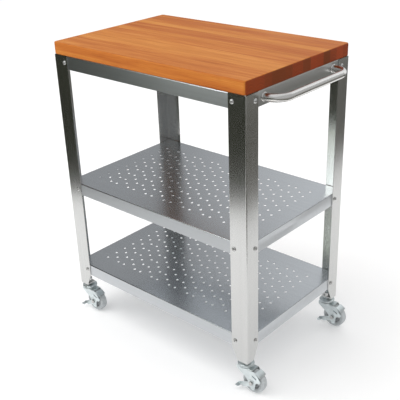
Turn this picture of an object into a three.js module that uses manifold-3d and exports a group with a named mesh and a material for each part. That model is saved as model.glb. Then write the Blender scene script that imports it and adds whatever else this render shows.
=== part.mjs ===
// Kitchen island cart: wooden worktop on a folded stainless frame with two shelves,
// a towel-bar handle and four swivel casters with brakes. Millimetres, +Z up, floor at z = 0.
// +X runs along the long side towards the handle, -Y is the front.
import * as THREE from 'three';
import { mergeVertices } from 'three/addons/utils/BufferGeometryUtils.js';
import Module from 'manifold-3d';

// ---- driving dimensions -------------------------------------------------
const LENGTH = 736;             // worktop and frame, along X
const DEPTH = 474;              // worktop and frame, along Y
const HEIGHT = 940;             // floor to the worktop's upper face
const TOP_THICK = 38;
const TOP_EDGE = 4;             // eased edge of the worktop
const TOP_CORNER = 9;           // plan radius of the worktop's corners
const GAP = 0.3;                // clearance between pieces that touch

const LEG_SHEET = 2;            // leg sheet thickness
const LEG_LONG = 57;            // flange on the front and back faces
const LEG_SHORT = 51;           // flange on the end faces
const LEG_BEND = 3.5;           // outer bend radius of the leg
const LEG_BOTTOM = 98;          // leg's lower end above the floor
const TAPER_START = 145;        // flanges narrow below this height
const TAPER_LOSS = 20;          // width each flange loses by its lower end
const FOOT_SHEET = 4;           // plate welded across the leg's lower end
const FOOT_BOSS = 16;           // height of the threaded boss on that plate
const FOOT_BOSS_RADIUS = 10;

const SHEET = 1.5;              // aprons and shelves
const APRON_HIGH = 41;
const APRON_FLANGE = 22;        // top flange that the worktop rests on
const SHELF_LIP = 40;
const SHELF_TOPS = { middle_shelf: 485, lower_shelf: 184 };
const SHELF_CORNER = 5;

const HOLE_RADIUS = 3.9;        // round holes through both shelves
const HOLE_COLUMNS = 24;
const HOLE_STEP = 26.4;         // between columns, along X
const HOLE_PITCH = 39.8;        // between the holes of a column, along Y
const HOLE_ROWS = 9;            // every third column has one fewer, half a pitch off

const BAR_RADIUS = 11;          // towel-bar handle
const BAR_REACH = 50;           // centre line of the bar out from the apron
const BAR_HALF = 159;           // handle's feet are this far from the middle
const BAR_BEND = 42;
const BAR_Z = 881.5;

const BOLT_EDGE = 13;           // bolt centre in from a flange's free edge
const BOLT_SHANK = 3;
const BOLT_CLEARANCE = 3.4;
const BOLT_HEAD = 6.5;
const BOLT_DOME = 3.4;
const BOLT_LONG = 12;
const BOLT_LEVELS = { apron: 881, middle: 465, lower: 164 };

const STEM_INSET = 21;          // caster stem in from both outer faces
const STEM_RADIUS = 5;
const WHEEL_RADIUS = 37.5;
const WHEEL_WIDE = 24;
const TRAIL = 33;               // wheel axle behind the stem
const RIM_RADIUS = 27;          // where the tyre meets the wheel core
const AXLE_RADIUS = 4;
const RACE_RADIUS = 25;
const CROWN_TOP = 79.5;         // upper face of the fork's crown
const FORK_SHEET = 2.5;
const FORK_INNER = 14;          // half the space between the fork's legs
const BRAKE_SHEET = 2;
const PEDAL_REACH = 14;         // pedal tab out from the brake plate
const PEDAL_LONG = 12;
const PEDAL_LOW = 15;

// ---- materials ----------------------------------------------------------
const finish = (color, roughness, metalness) => () =>
  new THREE.MeshStandardMaterial({ color, roughness, metalness });
const wood = finish(0xb4753f, 0.45, 0);
const steel = finish(0x9ea2a4, 0.35, 1);
const polished = finish(0xc4c6c8, 0.2, 1);
const zinc = finish(0xb9c4c6, 0.4, 1);
const rubber = finish(0x9aa0a2, 0.75, 0);
const plastic = finish(0x8d9496, 0.6, 0);

// ---- solids: joined and cut ---------------------------------------------
const wasm = await Module();
wasm.setup();

function solid(geometry) {
  const plain = geometry.clone();
  plain.deleteAttribute('normal');
  plain.deleteAttribute('uv');
  const merged = mergeVertices(plain, 1e-4);
  const vertProperties = new Float32Array(merged.attributes.position.array);
  const triVerts = new Uint32Array(merged.index.array);
  return new wasm.Manifold(new wasm.Mesh({ numProp: 3, vertProperties, triVerts }));
}

function geometryOf(body) {
  const mesh = body.getMesh();
  const geometry = new THREE.BufferGeometry();
  geometry.setAttribute('position', new THREE.BufferAttribute(mesh.vertProperties.slice(), 3));
  geometry.setIndex(new THREE.BufferAttribute(mesh.triVerts.slice(), 1));
  geometry.computeVertexNormals();
  return geometry;
}

const join = (...bodies) => bodies.reduce((a, b) => a.add(b));
const cut = (body, ...tools) => tools.reduce((a, b) => a.subtract(b), body);

// A box from its lowest to its highest corner.
function block(x0, y0, z0, x1, y1, z1) {
  const geometry = new THREE.BoxGeometry(x1 - x0, y1 - y0, z1 - z0);
  geometry.translate((x0 + x1) / 2, (y0 + y1) / 2, (z0 + z1) / 2);
  return solid(geometry);
}

// A rod centred on a point, along the axis 'x', 'y' or 'z'.
function rod(radius, length, axis, x, y, z, sides = 12) {
  const geometry = new THREE.CylinderGeometry(radius, radius, length, sides);
  if (axis === 'x') geometry.rotateZ(-Math.PI / 2);
  if (axis === 'z') geometry.rotateX(Math.PI / 2);
  geometry.translate(x, y, z);
  return solid(geometry);
}

// A flat outline of [a, b] points, extruded by depth.
function outline(points) {
  return new THREE.Shape(points.map(([a, b]) => new THREE.Vector2(a, b)));
}

function plate(shape, depth, steps = 6) {
  return new THREE.ExtrudeGeometry(shape, { depth, bevelEnabled: false, curveSegments: steps });
}

// An outline in X and Z, spread along Y from y0 to y1.
function sidePlate(shape, y0, y1) {
  const geometry = plate(shape, y1 - y0);
  geometry.rotateX(Math.PI / 2);
  geometry.translate(0, y1, 0);
  return solid(geometry);
}

function roundedRectangle(halfX, halfY, radius) {
  const shape = new THREE.Shape();
  const corners = [[1, -1, -90], [1, 1, 0], [-1, 1, 90], [-1, -1, 180]];
  for (const [sx, sy, start] of corners) {
    const from = THREE.MathUtils.degToRad(start);
    const cx = sx * (halfX - radius);
    const cy = sy * (halfY - radius);
    shape.absarc(cx, cy, radius, from, from + Math.PI / 2, false);
  }
  return shape;
}

// A turned piece about the Z axis; the profile is [radius, height] points.
function turned(profile, segments) {
  const points = profile.map(([r, h]) => new THREE.Vector2(r, h));
  const geometry = new THREE.LatheGeometry(points, segments);
  geometry.rotateX(Math.PI / 2);
  return geometry;
}

function named(name, geometry, material) {
  const mesh = new THREE.Mesh(geometry, material());
  mesh.name = name;
  return mesh;
}

// ---- worktop ------------------------------------------------------------
function worktop() {
  const halfX = LENGTH / 2 - TOP_EDGE;
  const halfY = DEPTH / 2 - TOP_EDGE;
  const shape = roundedRectangle(halfX, halfY, TOP_CORNER - TOP_EDGE);
  const geometry = new THREE.ExtrudeGeometry(shape, {
    depth: TOP_THICK - 2 * TOP_EDGE,
    bevelThickness: TOP_EDGE,
    bevelSize: TOP_EDGE,
    bevelSegments: 3,
    curveSegments: 4,
  });
  geometry.translate(0, 0, HEIGHT - TOP_THICK + TOP_EDGE);
  return named('worktop', geometryOf(solid(geometry)), wood);
}

// ---- legs ---------------------------------------------------------------
// Bolt places on one leg, as distances from its corner: along X on the front or back
// face, and along Y on the end face.
const BOLT_X = LEG_LONG - BOLT_EDGE;
const BOLT_Y = LEG_SHORT - BOLT_EDGE;

// The front left leg with its corner at x = 0, y = 0.
function legSolid() {
  const t = LEG_SHEET;
  const inner = LEG_BEND - t;
  const shape = new THREE.Shape();
  shape.moveTo(LEG_BEND, 0);
  shape.lineTo(LEG_LONG, 0);
  shape.lineTo(LEG_LONG, t);
  shape.lineTo(LEG_BEND, t);
  shape.absarc(LEG_BEND, LEG_BEND, inner, -Math.PI / 2, -Math.PI, true);
  shape.lineTo(t, LEG_SHORT);
  shape.lineTo(0, LEG_SHORT);
  shape.lineTo(0, LEG_BEND);
  shape.absarc(LEG_BEND, LEG_BEND, LEG_BEND, Math.PI, Math.PI * 1.5, false);
  const top = HEIGHT - TOP_THICK - GAP;
  const angle = plate(shape, top - LEG_BOTTOM, 3);
  angle.translate(0, 0, LEG_BOTTOM);

  const below = LEG_BOTTOM - 1;
  const past = TAPER_LOSS * (TAPER_START - below) / (TAPER_START - LEG_BOTTOM);
  const longCut = sidePlate(outline([
    [LEG_LONG + 1, below], [LEG_LONG + 1, TAPER_START], [LEG_LONG, TAPER_START],
    [LEG_LONG - past, below],
  ]), -1, t + 1);
  const shortCut = solid(plate(outline([
    [LEG_SHORT + 1, below], [LEG_SHORT + 1, TAPER_START], [LEG_SHORT, TAPER_START],
    [LEG_SHORT - past, below],
  ]), t + 2).applyMatrix4(new THREE.Matrix4().makeBasis(
    new THREE.Vector3(0, 1, 0), new THREE.Vector3(0, 0, 1), new THREE.Vector3(1, 0, 0),
  )).translate(-1, 0, 0));

  const holes = [];
  for (const level of Object.values(BOLT_LEVELS)) {
    holes.push(rod(BOLT_CLEARANCE, 3 * t, 'y', BOLT_X, t / 2, level, 8));
    holes.push(rod(BOLT_CLEARANCE, 3 * t, 'x', t / 2, BOLT_Y, level, 8));
  }

  // Plate welded across the lower end, with the threaded boss for the caster's stem.
  const footX = LEG_LONG - TAPER_LOSS - 1;
  const footY = LEG_SHORT - TAPER_LOSS + 1;
  const bite = t - 0.5;
  const foot = join(
    block(bite, bite, LEG_BOTTOM, footX, footY, LEG_BOTTOM + FOOT_SHEET),
    rod(FOOT_BOSS_RADIUS, FOOT_BOSS, 'z', STEM_INSET, STEM_INSET, LEG_BOTTOM + FOOT_BOSS / 2),
  );
  const bore = rod(STEM_RADIUS + GAP, 3 * FOOT_BOSS, 'z', STEM_INSET, STEM_INSET, LEG_BOTTOM);
  const body = cut(solid(angle), longCut, shortCut, ...holes);
  return cut(body.add(foot), bore);
}

// The four corners of the frame, with the signs of their X and Y.
const CORNERS = {
  front_left: [-1, -1],
  front_right: [1, -1],
  back_left: [-1, 1],
  back_right: [1, 1],
};

// Carries a solid made for the front left corner to another corner.
function atCorner(body, [sx, sy]) {
  const moved = body.translate([-LENGTH / 2, -DEPTH / 2, 0]);
  return moved.scale([-sx, -sy, 1]);
}

function legs() {
  const base = legSolid();
  return Object.entries(CORNERS).map(([corner, signs]) =>
    named(`leg_${corner}`, geometryOf(atCorner(base, signs)), steel));
}

// ---- aprons -------------------------------------------------------------
const INSIDE_X = LENGTH / 2 - LEG_SHEET - GAP;   // outer face of end aprons and shelf lips
const INSIDE_Y = DEPTH / 2 - LEG_SHEET - GAP;    // outer face of front and back aprons
const APRON_TOP = HEIGHT - TOP_THICK - GAP;
const APRON_CORNER = 4;         // keeps aprons clear of the legs' inner bend

// Web with a top flange, standing on the Y = face plane and folded towards +Y.
function apronSolid(half, face) {
  const lower = APRON_TOP - APRON_HIGH;
  const web = block(-half, face, lower, half, face + SHEET, APRON_TOP);
  const mitre = half - APRON_FLANGE;
  const flange = solid(plate(outline([
    [-half, face], [half, face], [mitre, face + APRON_FLANGE], [-mitre, face + APRON_FLANGE],
  ]), SHEET).translate(0, 0, APRON_TOP - SHEET));
  return web.add(flange);
}

function aprons() {
  const longHalf = INSIDE_X - APRON_CORNER;
  const endHalf = INSIDE_Y - APRON_CORNER;
  const boltX = LENGTH / 2 - BOLT_X;
  const boltY = DEPTH / 2 - BOLT_Y;
  const level = BOLT_LEVELS.apron;
  const bore = (x, y, axis) => rod(BOLT_CLEARANCE, 4 * SHEET, axis, x, y, level, 8);
  const front = cut(
    apronSolid(longHalf, -INSIDE_Y),
    bore(-boltX, -INSIDE_Y, 'y'),
    bore(boltX, -INSIDE_Y, 'y'),
  );
  const turnedEnd = apronSolid(endHalf, -INSIDE_X).rotate([0, 0, -90]);
  const left = cut(turnedEnd, bore(-INSIDE_X, -boltY, 'x'), bore(-INSIDE_X, boltY, 'x'));
  return [
    named('apron_front', geometryOf(front), steel),
    named('apron_back', geometryOf(front.scale([1, -1, 1])), steel),
    named('apron_left', geometryOf(left), steel),
    named('apron_right', geometryOf(left.scale([-1, 1, 1])), steel),
  ];
}

// ---- shelves ------------------------------------------------------------
// Places of the holes, column by column, centred on the shelf.
function holeCentres() {
  const centres = [];
  for (let column = 0; column < HOLE_COLUMNS; column += 1) {
    const count = column % 3 === 1 ? HOLE_ROWS - 1 : HOLE_ROWS;
    const x = (column - (HOLE_COLUMNS - 1) / 2) * HOLE_STEP;
    for (let row = 0; row < count; row += 1) {
      centres.push([x, (row - (count - 1) / 2) * HOLE_PITCH]);
    }
  }
  return centres;
}

// A pan: a perforated sheet with a lip folded down along each side, bolted to the legs.
function shelf(name) {
  const top = SHELF_TOPS[name];
  const level = top - SHELF_LIP / 2;
  const outer = roundedRectangle(INSIDE_X, INSIDE_Y, SHELF_CORNER);
  const inner = roundedRectangle(INSIDE_X - SHEET, INSIDE_Y - SHEET, SHELF_CORNER - SHEET);
  const pan = cut(
    solid(plate(outer, SHELF_LIP, 2).translate(0, 0, top - SHELF_LIP)),
    solid(plate(inner, SHELF_LIP, 2).translate(0, 0, top - SHEET - SHELF_LIP)),
  );
  const bores = [];
  for (const [sx, sy] of Object.values(CORNERS)) {
    const boltX = sx * (LENGTH / 2 - BOLT_X);
    const boltY = sy * (DEPTH / 2 - BOLT_Y);
    bores.push(rod(BOLT_CLEARANCE, 4 * SHEET, 'y', boltX, sy * INSIDE_Y, level, 8));
    bores.push(rod(BOLT_CLEARANCE, 4 * SHEET, 'x', sx * INSIDE_X, boltY, level, 8));
  }
  const holes = holeCentres().map(([x, y]) => rod(HOLE_RADIUS, 4 * SHEET, 'z', x, y, top, 6));
  return named(name, geometryOf(cut(pan, ...bores, ...holes)), steel);
}

// ---- handle -------------------------------------------------------------
// Bowed bar: out from the end apron, round a bend, along Y and back.
function handle() {
  const start = INSIDE_X + GAP;
  const out = INSIDE_X + BAR_REACH;
  const path = new THREE.CurvePath();
  const at = (x, y) => new THREE.Vector3(x, y, BAR_Z);
  const k = 0.5523 * BAR_BEND;
  const x1 = out - BAR_BEND;
  const y1 = BAR_HALF - BAR_BEND;
  path.add(new THREE.LineCurve3(at(start, -BAR_HALF), at(x1, -BAR_HALF)));
  path.add(new THREE.CubicBezierCurve3(
    at(x1, -BAR_HALF), at(x1 + k, -BAR_HALF), at(out, -y1 - k), at(out, -y1)));
  path.add(new THREE.LineCurve3(at(out, -y1), at(out, y1)));
  path.add(new THREE.CubicBezierCurve3(
    at(out, y1), at(out, y1 + k), at(x1 + k, BAR_HALF), at(x1, BAR_HALF)));
  path.add(new THREE.LineCurve3(at(x1, BAR_HALF), at(start, BAR_HALF)));
  const section = new THREE.Shape();
  section.absarc(0, 0, BAR_RADIUS, 0, 2 * Math.PI, false);
  const geometry = new THREE.ExtrudeGeometry(section, {
    extrudePath: path,
    steps: 32,
    curveSegments: 6,
    bevelEnabled: false,
  });
  return named('handle', geometryOf(solid(geometry)), polished);
}

// ---- leg bolts ----------------------------------------------------------
// Dome head outside the flange, shank inwards. The head's seat is at z = 0, facing +Z.
function boltGeometry() {
  return turned([
    [0, -BOLT_LONG], [BOLT_SHANK, -BOLT_LONG], [BOLT_SHANK, 0], [BOLT_HEAD, 0],
    [BOLT_HEAD * 0.72, BOLT_DOME * 0.8], [0, BOLT_DOME],
  ], 10);
}

function bolts() {
  const made = [];
  for (const [corner, [sx, sy]] of Object.entries(CORNERS)) {
    for (const [level, z] of Object.entries(BOLT_LEVELS)) {
      const long = named(`bolt_${corner}_${level}_long`, boltGeometry(), polished);
      long.rotation.x = sy < 0 ? Math.PI / 2 : -Math.PI / 2;
      long.position.set(sx * (LENGTH / 2 - BOLT_X), sy * (DEPTH / 2 + GAP), z);
      const end = named(`bolt_${corner}_${level}_end`, boltGeometry(), polished);
      end.rotation.y = sx < 0 ? -Math.PI / 2 : Math.PI / 2;
      end.position.set(sx * (LENGTH / 2 + GAP), sy * (DEPTH / 2 - BOLT_Y), z);
      made.push(long, end);
    }
  }
  return made;
}

// ---- casters ------------------------------------------------------------
// Each caster is made about its own stem axis at x = 0, y = 0, floor at z = 0, with the
// wheel trailing towards +X.

// Threaded stem, nut collar and upper race; the kingpin reaches down through the fork.
function casterMount() {
  const raceLow = CROWN_TOP + 4;
  const raceTop = LEG_BOTTOM - 5;
  const pinLow = CROWN_TOP - FORK_SHEET - 5;
  const pinRadius = 5;
  return turned([
    [0, pinLow], [pinRadius + 4, pinLow], [pinRadius + 4, pinLow + 3], [pinRadius, pinLow + 4],
    [pinRadius, raceLow], [RACE_RADIUS - 3, raceLow], [RACE_RADIUS, raceLow + 2.5],
    [RACE_RADIUS - 2, raceTop - 1.5], [11, raceTop], [11, LEG_BOTTOM - GAP],
    [STEM_RADIUS, LEG_BOTTOM - GAP], [STEM_RADIUS, LEG_BOTTOM + FOOT_BOSS + 3],
    [0, LEG_BOTTOM + FOOT_BOSS + 3],
  ], 16);
}

const CROWN_FRONT = -22;        // crown's ends along X from the stem
const CROWN_BACK = TRAIL - 1;

// Side outline of a fork leg: wide under the crown, rounded about the axle.
function forkOutline() {
  const eye = 12;
  const shape = new THREE.Shape();
  shape.moveTo(CROWN_FRONT, CROWN_TOP);
  shape.lineTo(CROWN_FRONT, CROWN_TOP - eye);
  shape.lineTo(TRAIL - eye * 0.92, WHEEL_RADIUS - eye * 0.4);
  shape.absarc(TRAIL, WHEEL_RADIUS, eye, Math.PI * 1.13, Math.PI * 2.1, false);
  shape.lineTo(TRAIL + eye + 1, CROWN_TOP - 20);
  shape.lineTo(CROWN_BACK, CROWN_TOP);
  return shape;
}

function fork() {
  const outerY = FORK_INNER + FORK_SHEET;
  const side = sidePlate(forkOutline(), FORK_INNER, outerY);
  const under = CROWN_TOP - FORK_SHEET;
  const crown = block(CROWN_FRONT, -outerY, under, CROWN_BACK, outerY, CROWN_TOP);
  const race = rod(RACE_RADIUS - 1, 3, 'z', 0, 0, CROWN_TOP + 1, 20);
  const pinBore = rod(5 + 2 * GAP, 30, 'z', 0, 0, CROWN_TOP);
  const axleBore = rod(AXLE_RADIUS + GAP, 60, 'y', TRAIL, 0, WHEEL_RADIUS);
  return geometryOf(cut(join(side, side.scale([1, -1, 1]), crown, race), pinBore, axleBore));
}

function axle() {
  const reach = FORK_INNER + FORK_SHEET + BRAKE_SHEET + 3 * GAP;
  const pin = rod(AXLE_RADIUS, 2 * reach + 2, 'y', TRAIL, 0, WHEEL_RADIUS);
  const head = (side) => rod(7, 4, 'y', TRAIL, side * (reach + 2), WHEEL_RADIUS, 6);
  return geometryOf(join(pin, head(-1), head(1)));
}

// Wheel core: hub, web and rim, turned about the axle.
function wheelCore() {
  const half = WHEEL_WIDE / 2;
  const hub = 9;
  const rimHalf = half - 2;
  const bore = AXLE_RADIUS + GAP;
  const geometry = turned([
    [bore, -half - 1], [hub, -half - 1], [hub, -4], [RIM_RADIUS - 4, -4],
    [RIM_RADIUS - 4, -rimHalf], [RIM_RADIUS, -rimHalf], [RIM_RADIUS, rimHalf],
    [RIM_RADIUS - 4, rimHalf], [RIM_RADIUS - 4, 4], [hub, 4], [hub, half + 1], [bore, half + 1],
    [bore, -half - 1],
  ], 18);
  return geometry.rotateX(Math.PI / 2).translate(TRAIL, 0, WHEEL_RADIUS);
}

function tyre() {
  const half = WHEEL_WIDE / 2;
  const inner = RIM_RADIUS + GAP;
  const geometry = turned([
    [inner, -half + 1.5], [WHEEL_RADIUS - 5, -half], [WHEEL_RADIUS - 1.5, -half + 3],
    [WHEEL_RADIUS, -half + 7], [WHEEL_RADIUS, half - 7], [WHEEL_RADIUS - 1.5, half - 3],
    [WHEEL_RADIUS - 5, half], [inner, half - 1.5], [inner, -half + 1.5],
  ], 24);
  return geometry.rotateX(Math.PI / 2).translate(TRAIL, 0, WHEEL_RADIUS);
}

// Brake: a side plate about the axle, with a shoe folded over the tread behind and a
// pedal in front.
function brake() {
  const near = -(FORK_INNER + FORK_SHEET + GAP);
  const far = near - BRAKE_SHEET;
  // Outline from the axle: pedal arm towards -X, shoe arm up and towards +X.
  const fromAxle = (points) => outline(points.map(([x, z]) => [TRAIL + x, WHEEL_RADIUS + z]));
  const arm = fromAxle([
    [-12, 7.5], [-34, -12], [-50, -18], [-50, -24], [-30, -26.5],
    [-8, -12.5], [8, -12.5], [14, 2.5], [27, 30.5], [17, 43.5], [4, 22.5],
  ]);
  const tread = fromAxle([[17, 43.5], [14.8, 41.9], [24.8, 28.9], [27, 30.5]]);
  const plateBody = sidePlate(arm, far, near);
  const shoe = sidePlate(tread, far, FORK_INNER - 4);
  const pedalBack = TRAIL - 38;
  const pedal = block(
    pedalBack - PEDAL_LONG, far - PEDAL_REACH, PEDAL_LOW,
    pedalBack, near, PEDAL_LOW + BRAKE_SHEET,
  );
  const bore = rod(AXLE_RADIUS + GAP, 60, 'y', TRAIL, 0, WHEEL_RADIUS);
  return geometryOf(cut(join(plateBody, shoe, pedal), bore));
}

function caster(corner, [sx, sy]) {
  const group = new THREE.Group();
  const pieces = {
    mount: [casterMount(), zinc],
    fork: [fork(), zinc],
    axle: [axle(), polished],
    wheel: [wheelCore(), plastic],
    tyre: [tyre(), rubber],
    brake: [brake(), zinc],
  };
  for (const [piece, [geometry, material]] of Object.entries(pieces)) {
    group.add(named(`caster_${corner}_${piece}`, geometry, material));
  }
  group.position.set(sx * (LENGTH / 2 - STEM_INSET), sy * (DEPTH / 2 - STEM_INSET), 0);
  return group;
}

// ---- the cart -----------------------------------------------------------
const cart = new THREE.Group();
cart.add(worktop(), ...legs(), ...aprons(), shelf('middle_shelf'), shelf('lower_shelf'));
cart.add(handle(), ...bolts());
for (const [corner, signs] of Object.entries(CORNERS)) {
  cart.add(caster(corner, signs));
}

// The reference point is the middle of the cart's bounding box, on the floor.
const box = new THREE.Box3().setFromObject(cart);
const middle = box.getCenter(new THREE.Vector3());
cart.position.set(-middle.x, -middle.y, -box.min.z);

export default cart;
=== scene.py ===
"""Looks of a rolling kitchen island cart: wooden worktop, folded stainless frame, two perforated
shelves, towel-bar handle and four braked swivel casters. Metres, +Z up, floor at z = 0."""
import math

import bmesh
import bpy
from mathutils import Matrix, Vector


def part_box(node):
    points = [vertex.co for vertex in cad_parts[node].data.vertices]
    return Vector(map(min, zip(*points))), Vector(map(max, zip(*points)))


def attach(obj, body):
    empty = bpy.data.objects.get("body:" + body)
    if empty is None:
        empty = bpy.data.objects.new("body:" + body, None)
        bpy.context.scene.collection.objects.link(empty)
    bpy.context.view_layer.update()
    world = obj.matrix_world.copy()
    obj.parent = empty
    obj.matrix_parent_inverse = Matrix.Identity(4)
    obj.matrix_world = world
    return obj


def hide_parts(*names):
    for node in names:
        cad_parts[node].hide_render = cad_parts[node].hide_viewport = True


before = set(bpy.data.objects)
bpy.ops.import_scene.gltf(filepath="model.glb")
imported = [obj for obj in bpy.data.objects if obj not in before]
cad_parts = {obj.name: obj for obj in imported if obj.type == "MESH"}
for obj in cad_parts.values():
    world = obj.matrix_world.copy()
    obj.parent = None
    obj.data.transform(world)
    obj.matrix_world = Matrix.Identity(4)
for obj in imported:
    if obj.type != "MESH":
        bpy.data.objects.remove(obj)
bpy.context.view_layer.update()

MM = 0.001
ROOT = "frame"
CORNERS = {
    "front_left": (-1, -1),
    "front_right": (1, -1),
    "back_left": (-1, 1),
    "back_right": (1, 1),
}
BOLT_LEVELS = ("apron", "middle", "lower")

# ---- sheet metal and joinery sizes that a CAD box doesn't give ----------
LEG_SHEET = 2 * MM
LEG_BEND = 3.5 * MM
TAPER_START = 145 * MM
TAPER_LOSS = 20 * MM
FOOT_SHEET = 4 * MM
FOOT_BOSS = 16 * MM
STEM_INSET = 21 * MM
SHEET = 1.5 * MM
SHEET_BEND = 2.6 * MM
APRON_FLANGE = 22 * MM
SHELF_CORNER = 5 * MM
TOP_EDGE = 4 * MM
TOP_CORNER = 9 * MM
STAVE_WIDTH = 34 * MM
HOLE_RADIUS = 3.9 * MM
HOLE_COLUMNS = 24
HOLE_STEP = 26.4 * MM
HOLE_PITCH = 39.8 * MM
HOLE_ROWS = 9
BAR_RADIUS = 11 * MM
BAR_BEND = 42 * MM


# ---- shader nodes -------------------------------------------------------
class Material:
    """A node material built by short calls; sockets and plain values mix freely as inputs."""

    def __init__(self, name):
        self.material = bpy.data.materials.new(name)
        self.material.use_nodes = True
        self.tree = self.material.node_tree
        self.shader = self.tree.nodes["Principled BSDF"]
        self.place = self.node("ShaderNodeTexCoord").outputs["Object"]

    def node(self, kind, inputs=None, **settings):
        made = self.tree.nodes.new(kind)
        for key, value in settings.items():
            setattr(made, key, value)
        for key, value in (inputs or {}).items():
            self.give(made.inputs[key], value)
        return made

    def give(self, socket, value):
        if isinstance(value, bpy.types.NodeSocket):
            self.tree.links.new(value, socket)
        else:
            socket.default_value = value

    def set(self, **values):
        names = {"color": "Base Color", "roughness": "Roughness", "metallic": "Metallic",
                 "normal": "Normal", "specular": "Specular IOR Level",
                 "anisotropic": "Anisotropic", "tangent": "Tangent"}
        for key, value in values.items():
            self.give(self.shader.inputs[names[key]], value)

    def math(self, operation, a, b=0.0):
        return self.node("ShaderNodeMath", {0: a, 1: b}, operation=operation).outputs[0]

    def vector(self, operation, a, b):
        return self.node("ShaderNodeVectorMath", {0: a, 1: b}, operation=operation).outputs[0]

    def stretched(self, scale, shift=None):
        """Object coordinates times a scale for each axis, with an optional shift."""
        scaled = self.vector("MULTIPLY", self.place, scale)
        return scaled if shift is None else self.vector("ADD", scaled, shift)

    def noise(self, vector, scale=1.0, detail=3.0, roughness=0.55, distortion=0.0):
        return self.node("ShaderNodeTexNoise", {
            "Vector": vector, "Scale": scale, "Detail": detail, "Roughness": roughness,
            "Distortion": distortion}).outputs["Fac"]

    def axes(self, vector=None):
        split = self.node("ShaderNodeSeparateXYZ", {0: self.place if vector is None else vector})
        return split.outputs

    def span(self, value, low, high, to_low=0.0, to_high=1.0, smooth=False):
        kind = "SMOOTHSTEP" if smooth else "LINEAR"
        return self.node("ShaderNodeMapRange", {
            "Value": value, "From Min": low, "From Max": high, "To Min": to_low,
            "To Max": to_high}, interpolation_type=kind).outputs["Result"]

    def ramp(self, value, stops):
        made = self.node("ShaderNodeValToRGB", {0: value})
        ramp = made.color_ramp
        while len(ramp.elements) < len(stops):
            ramp.elements.new(0.5)
        for element, (at, color) in zip(ramp.elements, stops):
            element.position = at
            element.color = (*color, 1.0)
        return made.outputs["Color"]

    def mix(self, factor, a, b):
        """Colour a, blended with colour b by factor; a plain colour is a tuple of three."""
        made = self.node("ShaderNodeMix", data_type="RGBA")
        self.give(made.inputs["Factor"], factor)
        for socket, value in ((made.inputs[6], a), (made.inputs[7], b)):
            self.give(socket, (*value, 1.0) if isinstance(value, tuple) else value)
        return made.outputs[2]

    def bump(self, height, strength, distance):
        return self.node("ShaderNodeBump", {
            "Height": height, "Strength": strength, "Distance": distance}).outputs["Normal"]


def wood_face(m, grain, pores, tone):
    """Colour along the grain: each stave leans to red or pale by its tone, with dark pores."""
    face = m.ramp(m.span(grain, 0.30, 0.70), [
        (0.0, (0.330, 0.082, 0.012)), (0.38, (0.470, 0.142, 0.020)),
        (0.70, (0.555, 0.196, 0.030)), (1.0, (0.650, 0.275, 0.058))])
    ruddy = m.mix(m.span(tone, 0.40, 1.0, 0.0, 0.62), face, (0.390, 0.098, 0.014))
    pale = m.mix(m.span(tone, 0.30, 0.0, 0.0, 0.36), ruddy, (0.610, 0.255, 0.048))
    return m.mix(m.span(pores, 0.64, 0.78, 0.0, 0.35), pale, (0.20, 0.045, 0.006))


def wood_ends(m, height, edge, shift, tone):
    """Colour of the end grain: bowed rings and pores, browner or redder by the stave's tone."""
    bow = m.math("MULTIPLY", m.math("POWER", m.math("MULTIPLY", m.math("SUBTRACT", edge, tone),
                                                    2.0), 2.0), 0.012)
    ring_place = m.math("ADD", m.math("MULTIPLY", m.math("ADD", height, bow), 260.0),
                        m.math("MULTIPLY", tone, 40.0))
    rings = m.noise(m.node("ShaderNodeCombineXYZ", {0: ring_place}).outputs[0], detail=1.0)
    speckle = m.noise(m.stretched((40.0, 700.0, 700.0), shift), detail=2.0)
    ends = m.ramp(m.math("ADD", m.math("MULTIPLY", rings, 0.6), m.math("MULTIPLY", speckle, 0.4)),
                  [(0.25, (0.120, 0.016, 0.002)), (0.75, (0.280, 0.048, 0.005))])
    ends = m.mix(m.span(tone, 0.0, 0.5, 0.7, 0.0), ends, (0.125, 0.030, 0.003))
    return m.mix(m.span(tone, 0.5, 1.0, 0.0, 0.7), ends, (0.290, 0.040, 0.004))


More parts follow.
